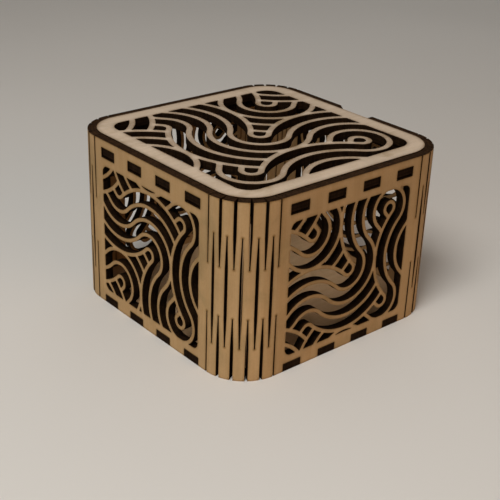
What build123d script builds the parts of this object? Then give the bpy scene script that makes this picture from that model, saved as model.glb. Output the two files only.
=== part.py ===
from build123d import *
import os
from math import cos, radians, sin, sqrt

# A keepsake box cut from thin plywood sheet. One strip is bent round four living-hinge corners,
# a base plate and a ledge ring are locked into it by tabs, and an openwork lid drops onto the ledge.
# Origin: middle of the underside. +Z is up, and the front side faces -Y.

# Driving dimensions, millimetres
ply = 3.2                   # thickness of the sheet that every piece is cut from
box_size = 100.0            # outside, flat to flat, both ways
box_height = 66.3           # height of the wall strip
corner_radius = 16.5        # outside radius of the bent corners
lid_gap = 0.2               # play between the lid and the wall, each side
lid_top = 66.6              # the lid stands a little proud of the wall

# Tabs and the slots that hold them, four on each side
tab_pitch = 16.7
tab_width = 8.2
slot_width = 8.3
slot_bottom = 59.5
tab_recess = 0.6            # the ledge tabs stop short of the outer face
ledge_opening = 82.0
ledge_opening_radius = 9.0

# Openwork windows
side_window_width = 57.3
side_window_height = 50.7
side_window_middle = 31.3   # height of the window's middle
side_window_radius = 2.8
side_strip = 1.4            # width of an arc strip
side_tile = 18.5            # half the diagonal of one tile of the arc pattern
lid_window_size = 80.0
lid_window_radius = 6.0
lid_strip = 2.2
lid_tile = 26.1
arcs_per_tile = 5
arc_pitch = 0.2045          # step between a tile's arcs, as a share of the tile's edge
smallest_hole = 0.6         # square millimetres: smaller slivers are left uncut

# Living-hinge slits. The bend pulls them open towards the outer face.
slit_step = 18.0            # degrees between neighbouring slits of one row
slit_inside = 0.2           # width on the inner face
slit_narrow = 0.4           # width on the outer face at a closed end
slit_flat = 0.6             # width on the outer face where the bend meets a flat side
slit_wide = 1.2             # width on the outer face in the bend
top_slit_end = 42.3
bottom_slit_end = 24.0
middle_slit_bottom = 12.6
middle_slit_top = 53.9

# Finger notch in the top edge of the +X side
notch_width = 17.1          # at the top
notch_floor_width = 12.8
notch_depth = 2.0
notch_radius = 1.2          # eases all its corners
notch_middle = -0.75        # its place along Y

# Jigsaw seam where the two ends of the strip meet, on the back side
seam_place = 30.9
seam_kerf = 0.12
seam_knob_radius = 0.85
seam_knob_heights = (11.0, 22.0, 33.0, 44.0, 55.0)

# Worked out from the above
half = box_size / 2
inner_size = box_size - 2 * ply
inner_radius = corner_radius - ply
flat_end = half - corner_radius
lid_bottom = lid_top - ply
ledge_bottom = lid_bottom - ply
lid_size = inner_size - 2 * lid_gap
tab_places = [(n - 1.5) * tab_pitch for n in range(4)]
through = ply + 2           # depth of a cutter that passes right through the sheet

# The corner of each tile that carries all its arcs: left, right, top or bottom. The arcs of the
# opposite corner pass under them. A tile is named by its column and row, counted from the middle.
side_weave = {
    (-1, 0): "B", (1, 0): "R", (0, 1): "R", (0, -1): "T",
    (-2, 1): "B", (-2, -1): "B", (2, 1): "L", (2, -1): "L",
    (-1, 2): "L", (1, 2): "B", (-1, -2): "R", (1, -2): "T",
}


def upside_down(weave):
    swap = {"T": "B", "B": "T", "L": "L", "R": "R"}
    return {(i, -j): swap[corner] for (i, j), corner in weave.items()}


def quarter_turn(weave):
    turn = {"T": "R", "R": "B", "B": "L", "L": "T"}
    return {(j, -i): turn[corner] for (i, j), corner in weave.items()}


def quarter_ring(radius, strip):
    """A quarter of a ring about the origin, opening symmetrically towards +X."""
    outer = CenterArc((0, 0), radius + strip / 2, -45, 90)
    inner = CenterArc((0, 0), radius - strip / 2, -45, 90)
    return make_face([outer, inner, Line(outer @ 0, inner @ 0), Line(outer @ 1, inner @ 1)])


def weave_tile(tile, strip):
    """One square tile standing on a corner: its carrying corner is the origin, it points to +X."""
    edge = tile * sqrt(2)
    middle = (arcs_per_tile - 1) / 2
    radii = [edge / 2 + (k - middle) * arc_pitch * edge for k in range(arcs_per_tile)]
    over = [quarter_ring(radius, strip) for radius in radii]
    far_corner = Pos(2 * tile, 0) * Rot(0, 0, 180)
    hidden = Circle(radii[-1])
    under = [far_corner * quarter_ring(radius, strip) - hidden for radius in radii]
    return over + under


def weave_strips(weave, tile, strip):
    """The arc strips of all tiles, about the middle of the window."""
    one_tile = weave_tile(tile, strip)
    corner = {"L": (-1, 0, 0), "B": (0, -1, 90), "R": (1, 0, 180), "T": (0, 1, -90)}
    strips = []
    for (i, j), name in weave.items():
        dx, dy, angle = corner[name]
        place = Pos((i + dx) * tile, (j + dy) * tile) * Rot(0, 0, angle)
        strips += [place * piece for piece in one_tile]
    return strips


def window_holes(window, weave, tile, strip):
    """The openings that are left between the arc strips inside a window."""
    rest = window - weave_strips(weave, tile, strip)
    return [face for face in rest.faces() if face.area > smallest_hole]


def hole_cutter(holes):
    """Cutter for the front side: the holes stand up and pass through the sheet."""
    outside = Plane(origin=(0, 1 - half + ply, 0), x_dir=(1, 0, 0), z_dir=(0, -1, 0))
    place = outside.location * Pos(0, side_window_middle)
    return [extrude(place * hole, through) for hole in holes]


def rounded_plate(size, radius, bottom, thickness):
    return Pos(0, 0, bottom) * extrude(RectangleRounded(size, size, radius), thickness)


def around(shapes, side):
    """Carry shapes from the front side to side 1 (+X), 2 (+Y) or 3 (-X)."""
    return [Rot(0, 0, 90 * side) * shape for shape in shapes]


def edge_boxes(width, bottom, top, inward, outward):
    """A row of four boxes on the front side, between two distances from the middle."""
    size = (width, outward - inward, top - bottom)
    middle = -(inward + outward) / 2
    return [Pos(x, middle, (bottom + top) / 2) * Box(*size) for x in tab_places]


def tabs(bottom, outward):
    """Sixteen tabs, rooted inside the plate's own outline."""
    front = edge_boxes(tab_width, bottom, bottom + ply, inner_size / 2 - 1, outward)
    return [tab for side in range(4) for tab in around(front, side)]


def slit(angle, heights, widths):
    """A slit through a bent corner, at an angle round the bend. On the outer face it has these
    widths at these heights, from the bottom up, and on the inner face it is narrow all along."""
    direction = Vector(cos(radians(angle)), sin(radians(angle)), 0)
    across = (-direction.Y, direction.X, 0)
    inside = [slit_inside] * len(widths)
    ends = []
    for radius, spread in ((inner_radius - 0.5, inside), (corner_radius + 0.2, widths)):
        middle = Vector(flat_end, flat_end, 0) + direction * radius
        sheet = Plane(origin=middle, x_dir=across, z_dir=direction)
        right = [(width / 2, height) for width, height in zip(spread, heights)]
        left = [(-x, height) for x, height in reversed(right)]
        ends.append(sheet * make_face(Polyline(*right, *left, close=True)))
    return loft(ends, ruled=True)


def corner_slits():
    """Slits of one corner: rows from the top and bottom edges, and a row between them. Where the
    rows overlap, each slit narrows to its closed end."""
    slits = []
    count = round(90 / slit_step)
    top = (top_slit_end, middle_slit_top, box_height + 1)
    bottom = (-1, middle_slit_bottom, bottom_slit_end)
    middle = (middle_slit_bottom, bottom_slit_end, top_slit_end, middle_slit_top)
    for n in range(count + 1):
        wide = slit_flat if n in (0, count) else slit_wide
        slits.append(slit(n * slit_step, top, (slit_narrow, wide, wide)))
        slits.append(slit(n * slit_step, bottom, (wide, wide, slit_narrow)))
    for n in range(count):
        widths = (slit_narrow, slit_wide, slit_wide, slit_narrow)
        slits.append(slit((n + 0.5) * slit_step, middle, widths))
    return slits


def finger_notch():
    """A shallow notch with sloping ends through the top edge of the +X side."""
    top, floor = notch_width / 2, notch_floor_width / 2
    brink = top + notch_radius
    corners = [(-brink, 0), (-top, 0), (-floor, -notch_depth), (floor, -notch_depth), (top, 0), (brink, 0)]
    dip = FilletPolyline(*corners, radius=notch_radius)
    roof = Polyline((brink, 0), (brink, 1), (-brink, 1), (-brink, 0))
    inner_face = Plane(origin=(half - ply - 1, notch_middle, box_height), x_dir=(0, 1, 0), z_dir=(1, 0, 0))
    return extrude(inner_face * make_face(dip.edges() + roof.edges()), through)


def seam():
    """The kerf between the strip's two ends, with interlocking knobs, through the back side."""
    end = Pos(seam_place + 10, box_height / 2) * Rectangle(20, box_height + 4)
    for n, height in enumerate(seam_knob_heights):
        reach = seam_knob_radius if n % 2 else -seam_knob_radius
        knob = Pos(seam_place - reach, height) * Circle(seam_knob_radius * 1.1)
        end = end + knob if n % 2 else end - knob
    kerf = offset(end, seam_kerf) - end
    strip_only = Pos(seam_place, box_height / 2) * Rectangle(8, box_height + 1)
    back = Plane(origin=(0, half - ply - 1, 0), x_dir=(1, 0, 0), z_dir=(0, -1, 0))
    return [extrude(back.location * face, -through) for face in (kerf & strip_only).faces()]


def make_wall_band():
    outside = extrude(RectangleRounded(box_size, box_size, corner_radius), box_height)
    inside = extrude(RectangleRounded(inner_size, inner_size, inner_radius), box_height)
    band = outside - inside
    window = RectangleRounded(side_window_width, side_window_height, side_window_radius)
    front = hole_cutter(window_holes(window, side_weave, side_tile, side_strip))
    left = hole_cutter(window_holes(window, upside_down(side_weave), side_tile, side_strip))
    slots = edge_boxes(slot_width, slot_bottom, lid_bottom, half - ply - 1, half + 1)
    notches = edge_boxes(slot_width, -1, ply, half - ply - 1, half + 1)
    slits = corner_slits()
    for side in range(4):
        openings = left if side == 3 else front
        band = band - around(openings, side)
        band = band - around(slots + notches + slits, side)
    return band - [finger_notch(), *seam()]


def make_base_plate():
    # The plate's corners are a touch rounder than the wall's, so only its straight edges bear.
    return rounded_plate(inner_size, inner_radius + 0.7, 0, ply) + tabs(0, half)


def make_ledge_frame():
    ring = rounded_plate(inner_size, inner_radius + 0.7, ledge_bottom, ply)
    opening = rounded_plate(ledge_opening, ledge_opening_radius, ledge_bottom, ply)
    return ring + tabs(ledge_bottom, half - tab_recess) - opening


def make_lid():
    plate = rounded_plate(lid_size, inner_radius - lid_gap, lid_bottom, ply)
    window = RectangleRounded(lid_window_size, lid_window_size, lid_window_radius)
    holes = window_holes(window, quarter_turn(side_weave), lid_tile, lid_strip)
    return plate - [Pos(0, 0, lid_bottom - 1) * extrude(hole, through) for hole in holes]


parts = {
    "wall_band": make_wall_band,
    "base_plate": make_base_plate,
    "ledge_frame": make_ledge_frame,
    "lid": make_lid,
}

os.makedirs("parts", exist_ok=True)
for name, make in parts.items():
    export_step(make(), f"parts/{name}.step")
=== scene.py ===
from math import radians
import bpy
from mathutils import Matrix, Vector


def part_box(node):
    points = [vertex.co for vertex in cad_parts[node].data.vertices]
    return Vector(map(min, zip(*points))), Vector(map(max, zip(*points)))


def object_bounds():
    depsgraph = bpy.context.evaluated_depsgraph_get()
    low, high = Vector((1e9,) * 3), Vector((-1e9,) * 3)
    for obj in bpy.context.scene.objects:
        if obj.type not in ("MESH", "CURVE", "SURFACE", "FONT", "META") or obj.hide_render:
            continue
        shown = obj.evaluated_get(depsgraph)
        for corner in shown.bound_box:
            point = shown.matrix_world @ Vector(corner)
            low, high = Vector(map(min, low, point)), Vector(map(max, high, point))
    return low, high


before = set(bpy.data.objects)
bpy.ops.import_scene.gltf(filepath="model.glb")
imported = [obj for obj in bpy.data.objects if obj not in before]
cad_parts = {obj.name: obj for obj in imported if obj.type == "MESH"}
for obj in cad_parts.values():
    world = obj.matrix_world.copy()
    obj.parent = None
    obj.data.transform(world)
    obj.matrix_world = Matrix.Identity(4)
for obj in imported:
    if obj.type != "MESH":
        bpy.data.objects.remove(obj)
cad_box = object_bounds()


def bottom_of(node):
    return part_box(node)[0][2]


def top_of(node):
    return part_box(node)[1][2]


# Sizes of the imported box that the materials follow, in metres
MM = 0.001
PLY = top_of("base_plate") - bottom_of("base_plate")
BEND_RADIUS = 16.5 * MM                 # outside radius of the bent corners
BEND_INSIDE = BEND_RADIUS - PLY
FLAT_END = cad_box[1][0] - BEND_RADIUS  # half the length of a flat side
SLIT_STEP = radians(18)                 # between neighbouring corner slits of one row
# Closed ends of the corner slits: the row's shift, in steps, and the heights, in millimetres
SLIT_ENDS = ((0.0, (24.0, 42.3)), (0.5, (12.6, 53.9)))

# Colours, linear
# Walls: the same plywood as the base and lid, given darker, warmer tones than the base's: painted shade
# in warm bounced light
SHADED_BIRCH_PALE = (0.450, 0.280, 0.136, 1)
SHADED_BIRCH_MID = (0.415, 0.250, 0.114, 1)
SHADED_BIRCH_FIBRE = (0.320, 0.178, 0.074, 1)
INNER_PALE = (0.620, 0.425, 0.250, 1)
INNER_MID = (0.575, 0.382, 0.212, 1)
INNER_FIBRE = (0.440, 0.262, 0.120, 1)
# Lid: the same plywood given paler, cooler tones: painted cool light from above
SKYLIT_LID_PALE = (0.595, 0.478, 0.362, 1)
SKYLIT_LID_MID = (0.549, 0.431, 0.316, 1)
SKYLIT_LID_FIBRE = (0.432, 0.318, 0.206, 1)
SMUDGE = (0.280, 0.190, 0.085, 1)
SMOKE = (0.50, 0.485, 0.46, 1)          # smoke multiplies the face's colour
LID_SMOKE = (0.42, 0.42, 0.43, 1)
SCORCH = (0.185, 0.095, 0.026, 1)
CHAR_DARK = (0.0072, 0.0036, 0.0018, 1)
CHAR_BROWN = (0.0220, 0.0108, 0.0048, 1)
TAB_CHAR_DARK = (0.0095, 0.0046, 0.0022, 1)
TAB_CHAR_BROWN = (0.0240, 0.0115, 0.0054, 1)
GLUE_LINE = (0.0045, 0.0028, 0.0018, 1)
FLOOR_PALE = (0.73, 0.705, 0.665, 1)
FLOOR_MID = (0.70, 0.675, 0.635, 1)

# The sheet's finish
SMUDGE_PLACE = (-15.0, 60.0, -35.0)     # shifts where the smudges fall, in millimetres
GLUE_LINES = (0.30, 0.70)               # places of the two glue lines through the sheet
RIM_PALING = 2.15                       # how much paler the char on the wall's top rim is than on its other cut edges
RIM_DEPTH = (1.1, 0.1)                  # depths under the top between which it turns paler, in mm
SMOKE_REACH = 1.25 * MM                 # how far from a cut the smoke still stains the face
LID_SMOKE_REACH = 2.1 * MM
BURN_REACH = (0.2, 1.0)                 # distances from a slit's end over which its burn fades, in mm
FACE_FACING = (0.70, 0.90)              # under the first a surface is a cut edge, over the second a face
FACE_ROUGHNESS = 0.60
EDGE_ROUGHNESS = 0.90
RELIEF = 0.04 * MM                      # depth of the fibres and striations

# Studio, in metres and degrees
SOFT_WHITE = (1.0, 0.97, 0.93)
KEY_WHITE = (1.0, 0.965, 0.93)
SKY_BLUE = (0.72, 0.92, 1.0)
AMBER = (1.0, 0.48, 0.12)
GRID = 80                               # spread that a honeycomb grid leaves
FLOOR_REACH = 6.0
LIGHT_AIM = (0, 0, 0.03)
CAMERA_PLACE = (-0.2395, -0.2716, 0.1950)
CAMERA_AIM = (0.0054, 0.0091, 0.0139)
CAMERA_ROLL = 2.1
CAMERA_LENS = 74.6                      # millimetres, on a sensor 36 mm wide


class Graph:
    """The node tree of a new material, with a short call for each kind of node."""

    def __init__(self, name):
        self.material = bpy.data.materials.new(name)
        self.material.use_nodes = True
        self.tree = self.material.node_tree
        self.tree.nodes.clear()

    def feed(self, socket, value):
        if isinstance(value, bpy.types.NodeSocket):
            self.tree.links.new(value, socket)
        else:
            socket.default_value = value

    def add(self, kind, inputs=None, **settings):
        node = self.tree.nodes.new(kind)
        for key, value in settings.items():
            setattr(node, key, value)
        for key, value in (inputs or {}).items():
            self.feed(node.inputs[key], value)
        return node

    def math(self, operation, *values):
        inputs = dict(enumerate(values))
        return self.add("ShaderNodeMath", inputs, operation=operation).outputs[0]

    def vector(self, operation, *values):
        """Vector maths with a vector result."""
        inputs = dict(enumerate(values))
        return self.add("ShaderNodeVectorMath", inputs, operation=operation).outputs["Vector"]

    def measure(self, operation, *values):
        """Vector maths with a number as its result, such as a length."""
        inputs = dict(enumerate(values))
        return self.add("ShaderNodeVectorMath", inputs, operation=operation).outputs["Value"]

    def times(self, vector, number):
        inputs = {0: vector, "Scale": number}
        return self.add("ShaderNodeVectorMath", inputs, operation="SCALE").outputs["Vector"]

    def noise(self, vector, scale, detail, rough, distortion=0.0):
        inputs = {"Vector": vector, "Scale": scale, "Detail": detail, "Roughness": rough,
                  "Distortion": distortion}
        return self.add("ShaderNodeTexNoise", inputs).outputs["Fac"]

    def span(self, value, low, high, start=0.0, stop=1.0):
        """Maps low..high smoothly onto start..stop."""
        inputs = {"Value": value, "From Min": low, "From Max": high, "To Min": start, "To Max": stop}
        return self.add("ShaderNodeMapRange", inputs, interpolation_type="SMOOTHSTEP").outputs[0]

    def mix(self, factor, a, b, blend="MIX"):
        node = self.add("ShaderNodeMix", data_type="RGBA", blend_type=blend)
        self.feed(node.inputs[0], factor)
        self.feed(node.inputs[6], a)
        self.feed(node.inputs[7], b)
        return node.outputs[2]


def wall_shape(g, place, normal):
    """For the bent strip: how far a point lies through the sheet (0 inside, 1 outside), and how
    squarely its face looks along the sheet's thickness."""
    flat = g.vector("MULTIPLY", place, (1, 1, 0))
    core = g.vector("MAXIMUM", g.vector("MINIMUM", flat, (FLAT_END,) * 3), (-FLAT_END,) * 3)
    out = g.vector("SUBTRACT", flat, g.vector("MULTIPLY", core, (1, 1, 0)))
    depth = g.math("DIVIDE", g.math("SUBTRACT", g.measure("LENGTH", out), BEND_INSIDE), PLY)
    facing = g.math("ABSOLUTE", g.measure("DOT_PRODUCT", g.vector("NORMALIZE", out), normal))
    return depth, facing


def plate_shape(node):
    """The same two facts for a flat plate."""
    bottom = bottom_of(node)

    def shape(g, place, normal):
        up = g.measure("DOT_PRODUCT", place, (0, 0, 1))
        depth = g.math("DIVIDE", g.math("SUBTRACT", up, bottom), PLY)
        facing = g.math("ABSOLUTE", g.measure("DOT_PRODUCT", normal, (0, 0, 1)))
        return depth, facing

    return shape


def drawn_out(g, mm, grain, across, along):
    """Coordinates for a pattern that is drawn out along the grain, from its scales across and along
    it."""
    scales = [across] * 3
    scales["XYZ".index(grain)] = along
    return g.vector("MULTIPLY", mm, scales)


def birch_face(g, mm, grain, pale, mid, fibre):
    """Pale veneer: a slow figure and fine fibres along the grain, both faint, with soft smudges."""
    slow = drawn_out(g, mm, grain, across=0.60, along=0.035)
    fine = drawn_out(g, mm, grain, across=3.2, along=0.13)
    figure = g.noise(slow, 0.55, detail=3, rough=0.55, distortion=0.8)
    fibres = g.noise(fine, 1.0, detail=4, rough=0.62)
    speckle = g.noise(mm, 1.4, detail=2, rough=0.6)
    mottle = g.noise(mm, 0.07, detail=3, rough=0.55)
    shifted = g.vector("ADD", mm, SMUDGE_PLACE)
    handled = g.noise(shifted, 0.045, detail=4, rough=0.58, distortion=0.8)
    colour = g.mix(g.span(figure, 0.30, 0.70), pale, mid)
    colour = g.mix(g.span(fibres, 0.52, 0.80, 0, 0.42), colour, fibre)
    colour = g.mix(g.span(handled, 0.52, 0.70, 0, 0.45), colour, SMUDGE)
    shade = g.math("ADD", g.span(mottle, 0.3, 0.7, 0.93, 1.05), g.span(speckle, 0.3, 0.7, -0.03, 0.03))
    return g.times(colour, shade), fibres


def darkened_by_cuts(g, mm, face, haze, clean, burns):
    """Smoke and heat on the face. The nearer a point is to the cuts on its sides, the less open it
    is inside: smoke stains it first, and then it is scorched."""
    smoke_colour, reach = haze
    openness = g.add("ShaderNodeAmbientOcclusion", {"Distance": reach}, inside=True,
                     only_local=True, samples=8).outputs["AO"]
    cloud = g.span(g.noise(mm, 0.22, detail=3, rough=0.6), 0.25, 0.75, 0.7, 1.0)
    smoke = g.math("MULTIPLY", g.math("MULTIPLY", g.math("SUBTRACT", 1.0, openness), cloud), clean)
    face = g.mix(smoke, face, g.mix(1.0, face, smoke_colour, "MULTIPLY"))
    scorch = g.math("MULTIPLY", g.span(openness, 0.48, 0.70, 1, 0), cloud)
    return g.mix(g.math("MAXIMUM", scorch, burns), face, g.mix(0.75, face, SCORCH))


def charred_edge(g, mm, depth, across, dark, brown):
    """A laser-cut edge: brown-black, with darker glue lines and fine striations through the sheet."""
    streak = g.noise(g.vector("MULTIPLY", mm, across), 1.6, detail=3, rough=0.6)
    patch = g.noise(mm, 0.35, detail=2, rough=0.5)
    blotch = g.math("ADD", streak, g.math("MULTIPLY", patch, 0.6))
    colour = g.mix(g.span(blotch, 0.55, 1.05), dark, brown)
    for line in GLUE_LINES:
        near = g.math("ABSOLUTE", g.math("SUBTRACT", depth, line))
        colour = g.mix(g.span(near, 0.015, 0.06, 0.7, 0), colour, GLUE_LINE)
    return colour, streak


def wall_marks(g, mm):
    """Four marks of the bent strip: how near a point is to a closed end of a corner slit, where the
    laser stood still; how much of the usual smoke the face took, as the thin slits of the bends left
    little; a tone that is a little lighter at the bottom and darker towards the top, painted light
    from below; and how much paler the char is on the top rim than on the other cut edges."""
    fold = g.vector("SUBTRACT", g.vector("ABSOLUTE", mm), (FLAT_END / MM, FLAT_END / MM, 0))
    bend_part = g.vector("MAXIMUM", fold, (0, 0, 0))
    bend = g.add("ShaderNodeSeparateXYZ", {0: bend_part})
    angle = g.math("MINIMUM", g.math("ARCTAN2", bend.outputs["Y"], bend.outputs["X"]), radians(89.9))
    burns = 0.0
    for shift, heights in SLIT_ENDS:
        step = g.math("SUBTRACT", g.math("DIVIDE", angle, SLIT_STEP), shift)
        own = g.math("MULTIPLY", g.math("ADD", g.math("ROUND", step), shift), SLIT_STEP)
        spoke = g.add("ShaderNodeCombineXYZ", {"X": g.math("COSINE", own), "Y": g.math("SINE", own)})
        tip = g.times(spoke.outputs[0], BEND_RADIUS / MM)
        for height in heights:
            gap = g.measure("DISTANCE", fold, g.vector("ADD", tip, (0, 0, height)))
            burns = g.math("MAXIMUM", burns, g.span(gap, *BURN_REACH, 1, 0))
    in_bend = g.measure("DOT_PRODUCT", g.vector("MINIMUM", bend_part, (1, 1, 1)), (0.5, 0.5, 0))
    clean = g.span(in_bend, 0.5, 0.7, 1.0, 0.25)
    height = g.measure("DOT_PRODUCT", mm, (0, 0, 1))
    # Painted light from below: the wall is lighter at the bottom and darker towards the top
    tone = g.span(height, 8, 60, 1.04, 0.93)
    rim_starts, rim_ends = [top_of("wall_band") / MM - depth for depth in RIM_DEPTH]
    rim_paling = g.span(height, rim_starts, rim_ends, 1.0, RIM_PALING)
    return burns, clean, tone, rim_paling


def plywood(name, shape, grain, tones, char, across, haze, marks=None):
    """Laser-cut birch plywood: pale faces that smoke and heat darkened along the cuts, and charred
    edges."""
    g = Graph(name)
    place = g.add("ShaderNodeTexCoord").outputs["Object"]
    world = g.add("ShaderNodeNewGeometry").outputs["True Normal"]
    normal = g.add("ShaderNodeVectorTransform", {"Vector": world}, vector_type="NORMAL",
                   convert_from="WORLD", convert_to="OBJECT").outputs[0]
    mm = g.times(place, 1 / MM)
    depth, facing = shape(g, place, normal)
    is_face = g.span(facing, *FACE_FACING)

    burns, clean, tone, rim_paling = marks(g, mm) if marks else (0.0, 1.0, 1.0, 1.0)
    veneer, fibres = birch_face(g, mm, grain, *tones)
    face = darkened_by_cuts(g, mm, g.times(veneer, tone), haze, clean, burns)
    edge, streak = charred_edge(g, mm, depth, across, *char)

    colour = g.mix(is_face, g.times(edge, rim_paling), face)
    rough = g.span(is_face, 0, 1, EDGE_ROUGHNESS, FACE_ROUGHNESS)
    relief = g.mix(is_face, streak, fibres)
    bump = g.add("ShaderNodeBump", {"Strength": 0.30, "Distance": RELIEF, "Height": relief})
    shader = g.add("ShaderNodeBsdfPrincipled", {"Base Color": colour, "Roughness": rough,
                                                "Specular IOR Level": 0.03, "Normal": bump.outputs[0]})
    g.add("ShaderNodeOutputMaterial", {"Surface": shader.outputs[0]})
    return g.material


def dress(node, material):
    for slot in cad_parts[node].material_slots:
        slot.material = material


def dress_box():
    """Each node's plywood: its shape, grain, tones, char, the striations' scales and its haze."""
    # The walls' tones carry painted shade in warm bounced light
    birch = (SHADED_BIRCH_PALE, SHADED_BIRCH_MID, SHADED_BIRCH_FIBRE)
    inner_birch = (INNER_PALE, INNER_MID, INNER_FIBRE)
    # The lid's tones carry painted cool light from above
    skylit_lid_birch = (SKYLIT_LID_PALE, SKYLIT_LID_MID, SKYLIT_LID_FIBRE)
    char = (CHAR_DARK, CHAR_BROWN)
    tab_char = (TAB_CHAR_DARK, TAB_CHAR_BROWN)
    haze = (SMOKE, SMOKE_REACH)
    lid_haze = (LID_SMOKE, LID_SMOKE_REACH)
    dress("wall_band", plywood("wall_plywood", wall_shape, "Z", birch, char, (1, 1, 1), haze, wall_marks))
    for plate in ("base_plate", "ledge_frame"):
        name = plate + "_plywood"
        dress(plate, plywood(name, plate_shape(plate), "X", inner_birch, tab_char, (1, 1, 0), haze))
    dress("lid", plywood("lid_plywood", plate_shape("lid"), "X", skylit_lid_birch, char, (1, 1, 0), lid_haze))


def make_floor():
    """A plain pale studio floor."""
    reach = FLOOR_REACH
    mesh = bpy.data.meshes.new("floor")
    corners = [(-reach, -reach, 0), (reach, -reach, 0), (reach, reach, 0), (-reach, reach, 0)]
    mesh.from_pydata(corners, [], [(0, 1, 2, 3)])
    floor = bpy.data.objects.new("floor", mesh)
    bpy.context.scene.collection.objects.link(floor)
    g = Graph("floor_paint")
    place = g.add("ShaderNodeTexCoord").outputs["Object"]
    tone = g.noise(place, 3.0, detail=2, rough=0.5)
    colour = g.mix(g.span(tone, 0.3, 0.7), FLOOR_MID, FLOOR_PALE)
    shader = g.add("ShaderNodeBsdfPrincipled", {"Base Color": colour, "Roughness": 0.75})
    g.add("ShaderNodeOutputMaterial", {"Surface": shader.outputs[0]})
    mesh.materials.append(g.material)


def look_at(place, aim, roll=0.0):
    back = (Vector(place) - Vector(aim)).normalized()
    turn = back.to_track_quat("Z", "Y").to_matrix().to_4x4()
    return Matrix.Translation(place) @ turn @ Matrix.Rotation(roll, 4, "Z")


def make_softbox(name, place, size, power, tint, spread=180):
    """A square softbox aimed at the object. A spread under 180 degrees is a honeycomb grid on it."""
    data = bpy.data.lights.new(name, "AREA")
    data.shape = "SQUARE"
    data.size = size
    data.spread = radians(spread)
    data.energy = power
    data.color = tint
    lamp = bpy.data.objects.new(name, data)
    bpy.context.scene.collection.objects.link(lamp)
    lamp.matrix_world = look_at(place, LIGHT_AIM)


def make_sky(strength, tint):
    world = bpy.data.worlds.new("studio")
    bpy.context.scene.world = world
    world.use_nodes = True
    background = world.node_tree.nodes["Background"]
    background.inputs["Color"].default_value = (*tint, 1)
    background.inputs["Strength"].default_value = strength


def make_camera():
    data = bpy.data.cameras.new("camera")
    data.sensor_width = 36.0
    data.lens = CAMERA_LENS
    data.clip_start = 0.01
    camera = bpy.data.objects.new("camera", data)
    bpy.context.scene.collection.objects.link(camera)
    camera.matrix_world = look_at(CAMERA_PLACE, CAMERA_AIM, radians(CAMERA_ROLL))
    bpy.context.scene.camera = camera


dress_box()
make_floor()
make_softbox("key", (-0.38, -0.17, 0.65), size=0.32, power=3.5, tint=KEY_WHITE)
make_softbox("left_fill", (-0.90, -0.40, 0.42), size=0.6, power=0.46, tint=SKY_BLUE, spread=GRID)
make_softbox("front_fill", (0.10, -1.10, 0.50), size=0.7, power=0.40, tint=AMBER, spread=GRID)
make_softbox("back_fill", (0.85, 0.60, 0.80), size=0.8, power=0.9, tint=SOFT_WHITE)
make_sky(strength=0.15, tint=SOFT_WHITE)
make_camera()
bpy.context.scene.view_settings.view_transform = "Standard"
